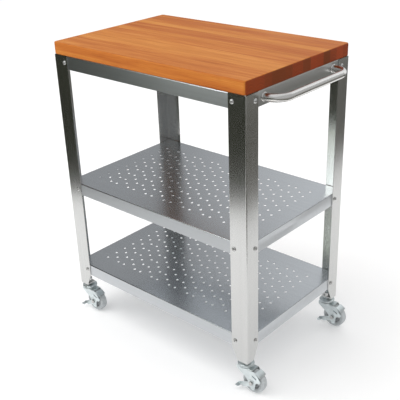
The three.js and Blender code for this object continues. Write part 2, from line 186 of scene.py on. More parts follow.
def wood_material():
    """Edge-grain staves along X with rings on the ends, under a thin oil finish, and painted shade
    on the underside.
    """
    m = Material("worktop_wood")
    axes = m.axes()
    drift = m.math("MULTIPLY", m.noise(m.stretched((0.0, 9.0, 0.0)), detail=1.0), 1.6)
    count = m.math("ADD", m.math("DIVIDE", axes["Y"], STAVE_WIDTH), drift)
    stave = m.math("FLOOR", count)
    edge = m.math("FRACT", count)
    own = m.node("ShaderNodeTexWhiteNoise", {"W": stave}, noise_dimensions="1D")
    tone = own.outputs["Value"]
    shift = m.vector("MULTIPLY", own.outputs["Color"], (3.0, 5.0, 7.0))

    broad = m.noise(m.stretched((3.4, 44.0, 44.0), shift), detail=4.0, distortion=0.35)
    fine = m.noise(m.stretched((9.0, 420.0, 420.0), shift), detail=2.0, roughness=0.7)
    pores = m.noise(m.stretched((38.0, 900.0, 900.0), shift), detail=1.0)
    grain = m.math("ADD", m.math("MULTIPLY", broad, 0.62), m.math("MULTIPLY", fine, 0.38))
    face = wood_face(m, grain, pores, tone)
    ends = wood_ends(m, axes["Z"], edge, shift, tone)

    normal = m.node("ShaderNodeNewGeometry").outputs["Normal"]
    facing = m.axes(normal)
    on_end = m.span(m.math("ABSOLUTE", facing["X"]), 0.55, 0.80, smooth=True)
    # painted shade: faces turned downwards are darkened towards a dull brown, as if in shadow
    under = m.span(facing["Z"], -0.5, -0.9, 0.0, 0.6)
    wood = m.mix(under, m.mix(on_end, face, ends), (0.16, 0.085, 0.040))
    joint = m.math("SUBTRACT", 1.0, m.span(m.math("ABSOLUTE", m.math("SUBTRACT", edge, 0.5)),
                                           0.485, 0.499))
    m.set(color=m.mix(m.math("MULTIPLY", m.math("SUBTRACT", 1.0, joint), 0.45), wood,
                      (0.16, 0.045, 0.015)),
          roughness=m.span(grain, 0.3, 0.7, 0.56, 0.42), specular=0.12,
          normal=m.bump(m.math("ADD", m.math("MULTIPLY", fine, 0.6), pores), 0.16, 0.0004))
    return m.material


def steel_material(name, along, tint=(0.60, 0.605, 0.60), rough=0.24, spread=0.05, bump=0.010,
                   anisotropic=0.0):
    """Stainless sheet with a brushed grain along one axis, and slight cloudiness and scuffs."""
    m = Material(name)
    fast, slow = 620.0, 2.5
    scale = [fast, fast, fast]
    scale["XYZ".index(along)] = slow
    streak = m.noise(m.stretched(tuple(scale)), detail=2.0, roughness=0.6)
    coarse = [value * 0.16 for value in scale]
    band = m.noise(m.stretched(tuple(coarse)), detail=2.0)
    cloud = m.noise(m.stretched((5.0, 5.0, 5.0)), detail=3.0)
    scuff = m.noise(m.stretched((70.0, 55.0, 90.0)), detail=4.0, roughness=0.7)
    fade = m.math("ADD", m.math("MULTIPLY", streak, 0.35), m.math("MULTIPLY", band, 0.65))
    shade = tuple(value * 0.965 for value in tint)
    bright = tuple(min(1.0, value * 1.03) for value in tint)
    color = m.ramp(m.span(fade, 0.32, 0.68), [(0.0, shade), (1.0, bright)])
    color = m.mix(m.span(scuff, 0.62, 0.80, 0.0, 0.10), color, (0.42, 0.42, 0.41))
    grainy = m.math("ADD", m.math("MULTIPLY", fade, 0.7), m.math("MULTIPLY", cloud, 0.5))
    m.set(color=color, metallic=1.0, anisotropic=anisotropic,
          roughness=m.span(grainy, 0.40, 0.80, rough - spread / 2, rough + spread / 2),
          normal=m.bump(band, bump, 0.0002))
    if anisotropic:
        m.set(tangent=m.node("ShaderNodeTangent", direction_type="RADIAL", axis=along)
              .outputs["Tangent"])
    return m.material


def zinc_material(name="caster_zinc", tint=(0.76, 0.82, 0.83), rough=0.34):
    """Bright zinc plating: faint cool cloud, with small pits and duller patches."""
    m = Material(name)
    cloud = m.noise(m.stretched((42.0, 42.0, 42.0)), detail=3.0)
    pits = m.noise(m.stretched((900.0, 900.0, 900.0)), detail=2.0)
    cool = tuple(value * 0.80 for value in tint)
    color = m.ramp(m.span(cloud, 0.30, 0.72), [(0.0, cool), (1.0, tint)])
    m.set(color=color, metallic=0.9, roughness=m.span(cloud, 0.3, 0.7, rough + 0.10, rough - 0.06),
          normal=m.bump(pits, 0.07, 0.0002))
    return m.material


def rubber_material(name, tint, rough=0.62):
    """Moulded grey tyre or core: even colour with faint dust and a fine matte surface."""
    m = Material(name)
    dust = m.noise(m.stretched((130.0, 130.0, 130.0)), detail=4.0, roughness=0.65)
    grit = m.noise(m.stretched((1600.0, 1600.0, 1600.0)), detail=2.0)
    dark = tuple(value * 0.74 for value in tint)
    color = m.ramp(m.span(dust, 0.30, 0.70), [(0.0, dark), (1.0, tint)])
    m.set(color=color, roughness=m.span(dust, 0.3, 0.7, rough + 0.14, rough - 0.06),
          specular=0.4, normal=m.bump(grit, 0.12, 0.0003))
    return m.material


# ---- mesh building ------------------------------------------------------
SHARP = math.radians(38)        # edges that turn more than this are bevelled, or stay sharp


def piece(name, mesh, material, body=ROOT, stands_for=(), bevel=0.0, place=None):
    """Puts a mesh in the scene as a named piece that rides on a body."""
    mesh.name = name
    made = bpy.data.objects.new(name, mesh)
    bpy.context.scene.collection.objects.link(made)
    if place is not None:
        mesh.transform(place)
        if place.determinant() < 0:
            mesh.flip_normals()
    mesh.materials.clear()
    mesh.materials.append(material)
    mesh.shade_smooth()
    if bevel:
        rounding = made.modifiers.new("Edges", "BEVEL")
        rounding.width = bevel
        rounding.segments = 2
        rounding.limit_method = "ANGLE"
        rounding.angle_limit = SHARP
        rounding.harden_normals = True
    else:
        mesh.set_sharp_from_angle(angle=SHARP)
        even = made.modifiers.new("Normals", "WEIGHTED_NORMAL")
        even.keep_sharp = True
    if stands_for:
        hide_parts(*stands_for)
    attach(made, body)


def mesh_of(points, faces):
    mesh = bpy.data.meshes.new("shape")
    mesh.from_pydata([tuple(p) for p in points], [], faces)
    shape = bmesh.new()
    shape.from_mesh(mesh)
    bmesh.ops.recalc_face_normals(shape, faces=shape.faces)
    shape.to_mesh(mesh)
    shape.free()
    return mesh


def joined(*meshes):
    """One mesh of several, each kept as its own closed shell."""
    shape = bmesh.new()
    for mesh in meshes:
        shape.from_mesh(mesh)
    result = bpy.data.meshes.new("joined")
    shape.to_mesh(result)
    shape.free()
    return result


def loft(rings, loop=False):
    """Closed skin through rings of equal count, capped at both ends unless it is a loop."""
    count = len(rings[0])
    points = [point for ring in rings for point in ring]
    faces = []
    last = len(rings) if loop else len(rings) - 1
    for r in range(last):
        a, b = r * count, (r + 1) % len(rings) * count
        for i in range(count):
            j = (i + 1) % count
            faces.append((a + i, a + j, b + j, b + i))
    if not loop:
        faces.append(tuple(range(count))[::-1])
        faces.append(tuple(range(len(points) - count, len(points))))
    return mesh_of(points, faces)


def lathe(profile, segments=32):
    """Turned shape about Z from (radius, height) pairs. A radius of 0 closes an end, and a
    profile that ends where it starts is welded into a ring."""
    points, faces, rows = [], [], []
    for radius, height in profile:
        if radius == 0:
            rows.append([len(points)])
            points.append((0, 0, height))
            continue
        rows.append(list(range(len(points), len(points) + segments)))
        for i in range(segments):
            turn = 2 * math.pi * i / segments
            points.append((radius * math.cos(turn), radius * math.sin(turn), height))
    for low, high in zip(rows, rows[1:]):
        for i in range(segments):
            j = (i + 1) % segments
            if len(low) == 1 and len(high) > 1:
                faces.append((low[0], high[i], high[j]))
            elif len(high) == 1 and len(low) > 1:
                faces.append((low[i], low[j], high[0]))
            elif len(low) > 1:
                faces.append((low[i], low[j], high[j], high[i]))
    mesh = mesh_of(points, faces)
    if profile[0] == profile[-1]:
        shape = bmesh.new()
        shape.from_mesh(mesh)
        bmesh.ops.remove_doubles(shape, verts=shape.verts, dist=1e-6)
        bmesh.ops.recalc_face_normals(shape, faces=shape.faces)
        shape.to_mesh(mesh)
        shape.free()
    return mesh


def arc(cx, cy, radius, start, end, steps):
    """Points on an arc, angles in degrees, both ends included."""
    turns = [math.radians(start + (end - start) * i / steps) for i in range(steps + 1)]
    return [(cx + radius * math.cos(t), cy + radius * math.sin(t)) for t in turns]


def rounded_rectangle(half_x, half_y, radius, steps=5):
    points = []
    for sx, sy, start in ((1, -1, -90), (1, 1, 0), (-1, 1, 90), (-1, -1, 180)):
        points += arc(sx * (half_x - radius), sy * (half_y - radius), radius,
                      start, start + 90, steps)
    return points


def filleted(points, radius, steps=4):
    """The outline with each corner rounded, by less where its sides are short."""
    result = []
    for before, at, after in zip(points[-1:] + points[:-1], points, points[1:] + points[:1]):
        at, a, b = Vector(at), Vector(before), Vector(after)
        u, v = (a - at).normalized(), (b - at).normalized()
        half = u.angle(v) / 2
        reach = min(radius / math.tan(half), (a - at).length * 0.45, (b - at).length * 0.45)
        start, end = at + u * reach, at + v * reach
        for i in range(steps + 1):
            t = i / steps
            result.append(tuple(start * (1 - t) ** 2 + at * 2 * t * (1 - t) + end * t ** 2))
    return result


def slab(outline, a, b, axis="Y"):
    """An outline spread from a to b along an axis; it lies in X and Z for Y, and so on."""
    def at(p, depth):
        return {"X": (depth, p[0], p[1]), "Y": (p[0], depth, p[1]), "Z": (p[0], p[1], depth)}[axis]
    return loft([[at(p, a) for p in outline], [at(p, b) for p in outline]])


def boolean(base, tool, operation):
    """A new mesh: base and tool put together by an exact boolean."""
    objects = [bpy.data.objects.new("boolean", mesh) for mesh in (base, tool)]
    for made in objects:
        bpy.context.scene.collection.objects.link(made)
    modifier = objects[0].modifiers.new("Boolean", "BOOLEAN")
    modifier.operation = operation
    modifier.object = objects[1]
    modifier.solver = "EXACT"
    graph = bpy.context.evaluated_depsgraph_get()
    result = bpy.data.meshes.new_from_object(objects[0].evaluated_get(graph))
    for made in objects:
        bpy.data.objects.remove(made)
    return result


def moved(mesh, matrix):
    copy = mesh.copy()
    copy.transform(matrix)
    if matrix.determinant() < 0:
        copy.flip_normals()
    return copy


def middle(node):
    low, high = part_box(node)
    return (low + high) / 2


# ---- worktop ------------------------------------------------------------
def worktop(material):
    low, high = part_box("worktop")
    centre = (low + high) / 2
    half_x, half_y = (high.x - low.x) / 2, (high.y - low.y) / 2
    rings = []
    levels = [(TOP_EDGE - x, low.z + TOP_EDGE - y) for x, y in arc(0, 0, TOP_EDGE, 90, 0, 5)]
    levels += [(TOP_EDGE - x, high.z - TOP_EDGE + y) for x, y in arc(0, 0, TOP_EDGE, 0, 90, 5)]
    for inset, z in levels:
        ring = rounded_rectangle(half_x - inset, half_y - inset, TOP_CORNER - inset, 6)
        rings.append([(centre.x + x, centre.y + y, z) for x, y in ring])
    piece("worktop_board", loft(rings), material, stands_for=["worktop"])


# ---- legs ---------------------------------------------------------------
def leg_section(long, short):
    """Section of a leg with its corner at 0, 0 and its flanges along +X and +Y."""
    t, bend, ease = LEG_SHEET, LEG_BEND, 0.6 * MM
    section = [(bend, 0)]
    section += arc(long - ease, ease, ease, -90, 0, 2)
    section += arc(long - ease, t - ease, ease, 0, 90, 2)
    section += arc(bend, bend, bend - t, -90, -180, 4)
    section += arc(t - ease, short - ease, ease, 0, 90, 2)
    section += arc(ease, short - ease, ease, 90, 180, 2)
    section += arc(bend, bend, bend, 180, 265, 6)
    return section


def foot_plate(long, short, z):
    """The plate welded into the foot of a leg whose outer corner is at 0, 0."""
    reach = TAPER_LOSS + 1 * MM
    bite = LEG_SHEET - 0.5 * MM
    half_x, half_y = (long - reach) / 2, (short - reach) / 2
    plate = rounded_rectangle(half_x, half_y, 3 * MM)
    return slab([(x + half_x + bite, y + half_y + bite) for x, y in plate], z, z + FOOT_SHEET, "Z")


def foot_boss(z):
    """The boss on the foot plate, about the stem's axis."""
    return lathe([(0, z + FOOT_SHEET), (10 * MM, z + FOOT_SHEET),
                  (10 * MM, z + FOOT_BOSS - 1 * MM), (9 * MM, z + FOOT_BOSS),
                  (0, z + FOOT_BOSS)], 24)


def leg(corner, signs, material):
    """A folded angle that tapers at its foot, with the foot plate and its boss."""
    node = f"leg_{corner}"
    low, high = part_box(node)
    sx, sy = signs
    long, short = high.x - low.x, high.y - low.y
    corner_x = low.x if sx < 0 else high.x
    corner_y = low.y if sy < 0 else high.y

    def place(x, y, z):
        return (corner_x - sx * x, corner_y - sy * y, z)

    soften = 6 * MM
    heights = [low.z, low.z + 1 * MM, TAPER_START - soften, TAPER_START - soften / 2,
               TAPER_START, TAPER_START + soften / 2, TAPER_START + soften, high.z]
    slope = TAPER_LOSS / (TAPER_START - low.z)
    rings = []
    for z in heights:
        below = max(0.0, TAPER_START - z)
        near = max(0.0, 1 - abs(z - TAPER_START) / soften)
        loss = slope * (below + near ** 2 * soften / 4)
        rings.append([place(x, y, z) for x, y in leg_section(long - loss, short - loss)])
    angle = loft(rings)

    mirrored = Matrix(((-sx, 0, 0, corner_x), (0, -sy, 0, corner_y), (0, 0, 1, 0), (0, 0, 0, 1)))
    foot = moved(foot_plate(long, short, low.z), mirrored)
    boss = moved(foot_boss(low.z), Matrix.Translation(place(STEM_INSET, STEM_INSET, 0)))
    piece(f"leg_sheet_{corner}", joined(angle, foot, boss), material,
          stands_for=[node])


# ---- aprons -------------------------------------------------------------
def apron(side, material):
    """A web with a flange folded inwards at its top, mitred at both ends."""
    node = f"apron_{side}"
    low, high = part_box(node)
    along_x = side in ("front", "back")
    half = (high.x - low.x) / 2 if along_x else (high.y - low.y) / 2
    tall = high.z - low.z
    ease = 0.5 * MM
    section = arc(ease, ease, ease, 180, 270, 2)
    section += arc(SHEET - ease, ease, ease, -90, 0, 2)
    inner = SHEET_BEND - SHEET
    section += arc(SHEET_BEND, tall - SHEET_BEND, inner, 180, 90, 4)
    section += arc(APRON_FLANGE - ease, tall - SHEET + ease, ease, -90, 0, 2)
    section += arc(APRON_FLANGE - ease, tall - ease, ease, 0, 90, 2)
    section += arc(SHEET_BEND, tall - SHEET_BEND, SHEET_BEND, 90, 180, 6)
    rings = []
    for end in (-1, 1):
        rings.append([(end * (half - max(0.0, depth - SHEET_BEND)), depth, low.z + height)
                      for depth, height in section])
    turn = {"front": 0, "right": 90, "back": 180, "left": -90}[side]
    centre = (low + high) / 2
    outer = {"front": (centre.x, low.y), "back": (centre.x, high.y),
             "left": (low.x, centre.y), "right": (high.x, centre.y)}[side]
    place = Matrix.Translation((*outer, 0)) @ Matrix.Rotation(math.radians(turn), 4, "Z")
    piece(f"apron_sheet_{side}", loft(rings), material,
          stands_for=[node], place=place)


# ---- shelves ------------------------------------------------------------
def hole_centres():
    centres = []
    for column in range(HOLE_COLUMNS):
        count = HOLE_ROWS - 1 if column % 3 == 1 else HOLE_ROWS
        x = (column - (HOLE_COLUMNS - 1) / 2) * HOLE_STEP
        for row in range(count):
            centres.append((x, (row - (count - 1) / 2) * HOLE_PITCH))
    return centres


def shelf(name, material, lip_material):
    """A pan with rounded folds, its sheet pierced by round holes with a soft rim."""
    low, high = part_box(name)
    centre = (low + high) / 2
    half_x, half_y = (high.x - low.x) / 2, (high.y - low.y) / 2

    def ring(inset, z):
        corner = max(SHELF_CORNER - inset, 1.2 * MM)
        return [(x, y, z) for x, y in rounded_rectangle(half_x - inset, half_y - inset, corner, 4)]

    ease = 0.4 * MM
    fold = [ring(SHEET_BEND - x, high.z - SHEET_BEND + y)
            for x, y in arc(0, 0, SHEET_BEND, 90, 0, 6)]
    lip = [ring(0, low.z + ease), ring(ease, low.z), ring(SHEET - ease, low.z),
           ring(SHEET, low.z + ease)]
    inner = SHEET_BEND - SHEET
    under = [ring(SHEET_BEND - x, high.z - SHEET_BEND + y) for x, y in arc(0, 0, inner, 0, 90, 4)]
    pan = loft(fold + lip + under)

    rim = 0.45 * MM
    profile = [(0, high.z - 3 * SHEET), (HOLE_RADIUS, high.z - 3 * SHEET),
               (HOLE_RADIUS, high.z - rim), (HOLE_RADIUS + rim, high.z + 0.02 * MM),
               (HOLE_RADIUS + rim, high.z + SHEET), (0, high.z + SHEET)]
    punch = lathe(profile, 20)
    tools = joined(*[moved(punch, Matrix.Translation((x, y, 0))) for x, y in hole_centres()])
    sheet = boolean(pan, tools, "DIFFERENCE")
    piece(f"{name}_pan", sheet, material, stands_for=[name],
          place=Matrix.Translation((centre.x, centre.y, 0)))
    sheet.materials.append(lip_material)
    for face in sheet.polygons:
        on_lip = abs(face.normal.z) < 0.3 and face.center.z < high.z - SHEET_BEND / 2
        face.material_index = 1 if on_lip else 0


# ---- handle -------------------------------------------------------------
def handle(material):
    """A bent round tube with a small weld bead where each end meets the apron."""
    sides = 28
    low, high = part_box("handle")
    out, z = high.x - BAR_RADIUS, (low.z + high.z) / 2
    y0, y1 = low.y + BAR_RADIUS, high.y - BAR_RADIUS
    path = [(low.x, y0)]
    path += arc(out - BAR_BEND, y0 + BAR_BEND, BAR_BEND, -90, 0, 14)
    path += [(out, y0 + (y1 - y0) * k / 4) for k in (1.4, 2.0, 2.6)]
    path += arc(out - BAR_BEND, y1 - BAR_BEND, BAR_BEND, 0, 90, 14)
    path += [(low.x, y1)]
    rings = []
    for i, (x, y) in enumerate(path):
        before, after = path[max(i - 1, 0)], path[min(i + 1, len(path) - 1)]
        ahead = Vector((after[0] - before[0], after[1] - before[1], 0)).normalized()
        side = ahead.cross(Vector((0, 0, 1)))
        ring = []
        for k in range(sides):
            turn = 2 * math.pi * k / sides
            ring.append(Vector((x, y, z)) + side * BAR_RADIUS * math.cos(turn)
                        + Vector((0, 0, BAR_RADIUS * math.sin(turn))))
        rings.append(ring)
    bead = lathe([(BAR_RADIUS - 1 * MM, 0.0), (BAR_RADIUS + 1.7 * MM, 0.0),
                  (BAR_RADIUS + 1.3 * MM, 1.0 * MM), (BAR_RADIUS + 0.5 * MM, 1.9 * MM),
                  (BAR_RADIUS - 1 * MM, 2.4 * MM), (BAR_RADIUS - 1 * MM, 0.0)], sides)
    bead.transform(Matrix.Rotation(math.radians(90), 4, "Y"))
    beads = [moved(bead, Matrix.Translation((low.x, y, z))) for y in (y0, y1)]
    piece("handle_tube", joined(loft(rings), *beads), material,
          stands_for=["handle"])


# ---- bolts and nuts -----------------------------------------------------
BOLT_HEAD = 6.5 * MM
BOLT_DOME = 3.4 * MM
BOLT_SHANK = 3 * MM
NUT_FLATS = 5 * MM


def hexagon(flats, count):
    """Points round a hexagon, the same number on each side."""
    corners = [Vector((math.cos(math.radians(60 * k)), math.sin(math.radians(60 * k))))
               * flats / math.cos(math.radians(30)) for k in range(7)]
    each = count // 6
    return [tuple(corners[k].lerp(corners[k + 1], i / each)) for k in range(6) for i in range(each)]


def button_bolt(long):
    """A domed head on +Z with a hexagonal socket, its seat at z = 0 and shank below."""
    sides = 24
    round_ring = [(math.cos(2 * math.pi * k / sides), math.sin(2 * math.pi * k / sides))
                  for k in range(sides)]
    profile = [(BOLT_SHANK - 0.5 * MM, -long), (BOLT_SHANK, -long + 0.5 * MM), (BOLT_SHANK, 0),
               (BOLT_HEAD - 0.2 * MM, 0), (BOLT_HEAD, 0.3 * MM), (BOLT_HEAD * 0.96, 1.2 * MM),
               (BOLT_HEAD * 0.82, 2.3 * MM), (BOLT_HEAD * 0.62, 3.05 * MM),
               (BOLT_HEAD * 0.44, BOLT_DOME)]
    rings = [[(x * r, y * r, z) for x, y in round_ring] for r, z in profile]
    socket = hexagon(2.1 * MM, sides)
    for scale, z in ((1.0, BOLT_DOME - 0.25 * MM), (0.98, 1.2 * MM), (0.4, 0.9 * MM)):
        rings.append([(x * scale, y * scale, z) for x, y in socket])
    return loft(rings)


def nut(flats, thick, bore):
    """A hexagonal nut with chamfered corners, from z = 0 down to -thick."""
    sides = 24
    outer = hexagon(flats, sides)
    limit = flats * 1.04
    circle = [(math.cos(2 * math.pi * k / sides), math.sin(2 * math.pi * k / sides))
              for k in range(sides)]
    clipped = [tuple(Vector(p) * min(1.0, limit / Vector(p).length)) for p in outer]
    rings = [[(x * bore, y * bore, 0) for x, y in circle], [(*p, 0) for p in clipped],
             [(*p, -0.6 * MM) for p in outer], [(*p, -thick + 0.6 * MM) for p in outer],
             [(*p, -thick) for p in clipped], [(x * bore, y * bore, -thick) for x, y in circle]]
    return loft(rings, loop=True)


def bolt_seat(node, axis, sign):
    """Where a bolt's head sits on its leg, facing outwards, and how long its shank is."""
    low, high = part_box(node)
    seat = (low + high) / 2
    seat[axis] = high[axis] - BOLT_DOME if sign > 0 else low[axis] + BOLT_DOME
    turn = (Matrix.Rotation(math.radians(90 * sign), 4, "Y"),
            Matrix.Rotation(math.radians(-90 * sign), 4, "X"))[axis]
    return Matrix.Translation(seat) @ turn, high[axis] - low[axis] - BOLT_DOME


def bolts(material):
    """A bolt with its nut on both flanges of each leg: the long side faces Y and the end X."""
    behind = LEG_SHEET + SHEET + 0.9 * MM
    for corner, (sx, sy) in CORNERS.items():
        for level in BOLT_LEVELS:
            for kind, axis, sign in (("long", 1, sy), ("end", 0, sx)):
                node = f"bolt_{corner}_{level}_{kind}"
                place, long = bolt_seat(node, axis, sign)
                piece(f"screw_{corner}_{level}_{kind}", button_bolt(long), material,
                      stands_for=[node], place=place)
                piece(f"nut_{corner}_{level}_{kind}", nut(NUT_FLATS, 4 * MM, BOLT_SHANK), material,
                      place=place @ Matrix.Translation((0, 0, -behind)))


def hidden_screws(material):
    """Screws that hold the handle from inside its apron, and the worktop from below."""
    bar_low, bar_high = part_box("handle")
    z = (bar_low.z + bar_high.z) / 2
    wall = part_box("apron_right")[1].x - SHEET
    hex_head = nut(6.5 * MM, 4.5 * MM, 0.5 * MM)
    inward = Matrix.Rotation(math.radians(90), 4, "Y")
    for name, y in (("front", bar_low.y + BAR_RADIUS), ("back", bar_high.y - BAR_RADIUS)):
        piece(f"handle_screw_{name}", hex_head.copy(), material,
              place=Matrix.Translation((wall, y, z)) @ inward)
    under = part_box("apron_front")[1].z - SHEET
    front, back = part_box("apron_front")[0].y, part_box("apron_back")[1].y
    left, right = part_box("apron_left")[0].x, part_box("apron_right")[1].x
    inset = 0.55 * APRON_FLANGE
    spots = [(left + inset, 0.0), (right - inset, 0.0)]
    for x in (left / 2, right / 2):
        spots += [(x, front + inset), (x, back - inset)]
    for number, (x, y) in enumerate(spots, 1):
        piece(f"worktop_screw_{number}", hex_head.copy(), material,
              place=Matrix.Translation((x, y, under)))


# ---- casters ------------------------------------------------------------
AXLE = 37.5 * MM                # height of the axle
TRAIL = 33 * MM                 # axle from the stem, along X
CROWN_TOP = 79.5 * MM
CROWN_FRONT = -22 * MM
CROWN_BACK = TRAIL - 1 * MM
FORK_INNER = 14 * MM
FORK_SHEET = 2.5 * MM
FORK_BEND = 4 * MM
BRAKE_SHEET = 2 * MM
RACE_RADIUS = 25 * MM
LEG_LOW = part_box("leg_front_left")[0].z
ACROSS = Matrix.Rotation(math.radians(90), 4, "X")      # lays a shape's Z axis along Y
RIM_RADIUS = 27 * MM
WHEEL_RADIUS = 37.5 * MM
SHOE_INNER = 42.4 * MM          # the brake shoe's radii about the axle
SHOE_OUTER = 44.4 * MM
SLOT_INNER = 25 * MM            # the stamped slot's radii about the axle
SLOT_OUTER = 29 * MM
PEDAL_BACK = 38 * MM            # pedal pad, back from the axle
PEDAL_LONG = 12 * MM
PEDAL_REACH = 14 * MM
PEDAL_LOW = 15 * MM
PEDAL_THICK = 2 * MM


def caster_mount():
    """Stem, nut collar and the cup of the upper ball race, about the stem's axis."""
    low = CROWN_TOP + 4 * MM
    cup = lathe([
        (5 * MM, low + 1 * MM), (19 * MM, low + 0.2 * MM), (22.5 * MM, low),
        (24.4 * MM, low + 0.6 * MM), (RACE_RADIUS, low + 2 * MM),
        (RACE_RADIUS - 0.3 * MM, low + 3.6 * MM), (23.4 * MM, low + 5.2 * MM),
        (21 * MM, low + 6.4 * MM), (17 * MM, low + 7.6 * MM), (12.5 * MM, LEG_LOW - 5 * MM),
        (5 * MM, LEG_LOW - 5 * MM), (5 * MM, low + 1 * MM)], 48)
    collar = moved(nut(9.6 * MM, 4.7 * MM, 5 * MM), Matrix.Translation((0, 0, LEG_LOW - 0.3 * MM)))
    head = CROWN_TOP - FORK_SHEET - 5 * MM
    end = LEG_LOW + FOOT_BOSS + 3 * MM
    pin = lathe([(0, head + 0.6 * MM), (7.6 * MM, head), (9 * MM, head + 1.2 * MM),
                 (9 * MM, head + 2.8 * MM), (5 * MM, head + 3.6 * MM), (5 * MM, end - 0.8 * MM),
                 (4.4 * MM, end), (0, end)], 32)
    return joined(cup, collar, pin)


def fork_outline():
    outline = [(CROWN_FRONT, CROWN_TOP + 2 * MM), (CROWN_FRONT, CROWN_TOP - 11 * MM)]
    outline += [(TRAIL - 23 * MM, AXLE + 10 * MM)]
    outline += arc(TRAIL, AXLE, 12 * MM, 200, 380, 12)
    outline += [(TRAIL + 13 * MM, CROWN_TOP - 20 * MM), (CROWN_BACK, CROWN_TOP + 2 * MM)]
    return outline


def fork():
    """An upside-down channel with rounded folds, cut to its side outline, and its lower race."""
    outer = FORK_INNER + FORK_SHEET
    inner_bend = FORK_BEND - FORK_SHEET
    bottom = 10 * MM
    half = [(outer, bottom)] + arc(outer - FORK_BEND, CROWN_TOP - FORK_BEND, FORK_BEND, 0, 90, 6)
    inside = arc(outer - FORK_BEND, CROWN_TOP - FORK_BEND, inner_bend, 90, 0, 4)
    inside += [(FORK_INNER, bottom)]
    section = half + [(-y, z) for y, z in half[::-1]] + [(-y, z) for y, z in inside[::-1]] + inside
    channel = slab(section, CROWN_FRONT - 5 * MM, TRAIL + 30 * MM, "X")
    cheeks = slab(filleted(fork_outline(), 5 * MM, 3), -30 * MM, 30 * MM)
    body = boolean(channel, cheeks, "INTERSECT")
    race = lathe([(6 * MM, CROWN_TOP - 0.5 * MM), (24 * MM, CROWN_TOP - 0.5 * MM),
                  (24.2 * MM, CROWN_TOP + 0.6 * MM), (23.6 * MM, CROWN_TOP + 1.8 * MM),
                  (21.5 * MM, CROWN_TOP + 2.5 * MM), (6 * MM, CROWN_TOP + 2.5 * MM),
                  (6 * MM, CROWN_TOP - 0.5 * MM)], 48)
    return joined(body, race)


def about_axle(mesh):
    """Carries a shape turned about Z to the axle, which lies along Y."""
    return moved(mesh, Matrix.Translation((TRAIL, 0, AXLE)) @ ACROSS)


def wheel_core():
    """Hub, thin web with a stiffening ring, and rim."""
    half = []
    for radius, depth in ((4.3, 13), (8.4, 13), (9, 12.4), (9.4, 6.5), (10.5, 5), (15, 4.4),
                          (17, 5.6), (19, 5.6), (21, 4.6), (22.6, 5.6), (23.4, 9.4),
                          (24.4, 10), (RIM_RADIUS / MM, 10)):
        half.append((radius * MM, depth * MM))
    profile = half + [(radius, -depth) for radius, depth in half[::-1]]
    return about_axle(lathe(profile + profile[:1], 48))


def tyre():
    """Soft grey tread with round shoulders and a shallow step where it meets the rim."""
    radius = WHEEL_RADIUS / MM
    half = ((27.3, 10.4), (29.5, 10.8), (30.2, 11.5), (32.4, 12), (34.4, 11.5), (35.9, 10.3),
            (36.8, 8.2), (37.25, 5.6), (37.45, 2.8))
    profile = [(r * MM, d * MM) for r, d in half] + [(radius * MM, 0)]
    profile += [(r * MM, -d * MM) for r, d in half[::-1]]
    return about_axle(lathe(profile + profile[:1], 64))


def axle():
    """A hexagonal bolt head on one side and a nut with the thread's end on the other."""
    outer = FORK_INNER + FORK_SHEET + BRAKE_SHEET + 0.9 * MM
    head = moved(nut(6 * MM, 4 * MM, 0.8 * MM), Matrix.Translation((0, 0, outer + 4 * MM)))
    back = moved(nut(6 * MM, 4 * MM, 3.2 * MM), Matrix.Translation((0, 0, -outer)))
    pin = lathe([(0, -outer - 4.6 * MM), (3 * MM, -outer - 4.6 * MM), (4 * MM, -outer - 3.8 * MM),
                 (4 * MM, outer + 3.7 * MM), (0, outer + 3.7 * MM)], 24)
    return about_axle(joined(head, back, pin))


def brake_side(near, far):
    """The stamped plate beside the fork, with its curved slot."""
    arms = [(-50, -24), (-50, -18), (-32, -9.5), (-14, -1), (-10, 10), (-2, 24), (3, 43.8),
            (14, 42), (22, 33), (28, 25), (34, 18), (29, 9), (19, 8), (14, 1), (13, -12),
            (11, -21), (0, -23), (-5, -15), (-16, -19), (-30, -26.5)]
    outline = filleted([(TRAIL + x * MM, AXLE + z * MM) for x, z in arms], 3 * MM)
    slot = filleted(arc(TRAIL, AXLE, SLOT_INNER, 48, 84, 3)
                    + arc(TRAIL, AXLE, SLOT_OUTER, 84, 48, 3), 1.5 * MM)
    return boolean(slab(outline, far, near), slab(slot, far - 3 * MM, near + 3 * MM), "DIFFERENCE")


def brake_pedal(near, far):
    """The flat pad at the low end of the plate."""
    back = TRAIL - PEDAL_BACK
    pad = filleted([(back - PEDAL_LONG, far - PEDAL_REACH), (back, far - PEDAL_REACH),
                    (back, near), (back - PEDAL_LONG, near)], 3 * MM)
    return slab(pad, PEDAL_LOW, PEDAL_LOW + PEDAL_THICK, "Z")


def brake():
    """The side plate with the shoe folded over the tread, the pedal, a boss and a crease."""
    near = -(FORK_INNER + FORK_SHEET + 0.3 * MM)
    far = near - BRAKE_SHEET
    outer = arc(TRAIL, AXLE, SHOE_OUTER, 72, 44, 6)
    inner = arc(TRAIL, AXLE, SHOE_INNER, 44, 72, 6)
    shoe = slab(outer + inner, far + 0.5 * MM, FORK_INNER - 4 * MM)
    boss = lathe([(5 * MM, 0), (12.5 * MM, 0), (12 * MM, 0.5 * MM), (10.6 * MM, 0.9 * MM),
                  (9.4 * MM, 0.9 * MM), (8 * MM, 0.3 * MM), (5 * MM, 0.3 * MM), (5 * MM, 0)], 32)
    boss.transform(Matrix.Translation((TRAIL, far, AXLE)) @ ACROSS)
    crease = slab(filleted([(TRAIL + x * MM, AXLE + z * MM) for x, z in
                            [(-44, -21.5), (-44, -19), (-16, -6), (-14, -9.5)]], 1 * MM),
                  far - 0.7 * MM, far + 0.2 * MM)
    return joined(brake_side(near, far), shoe, brake_pedal(near, far), boss, crease)


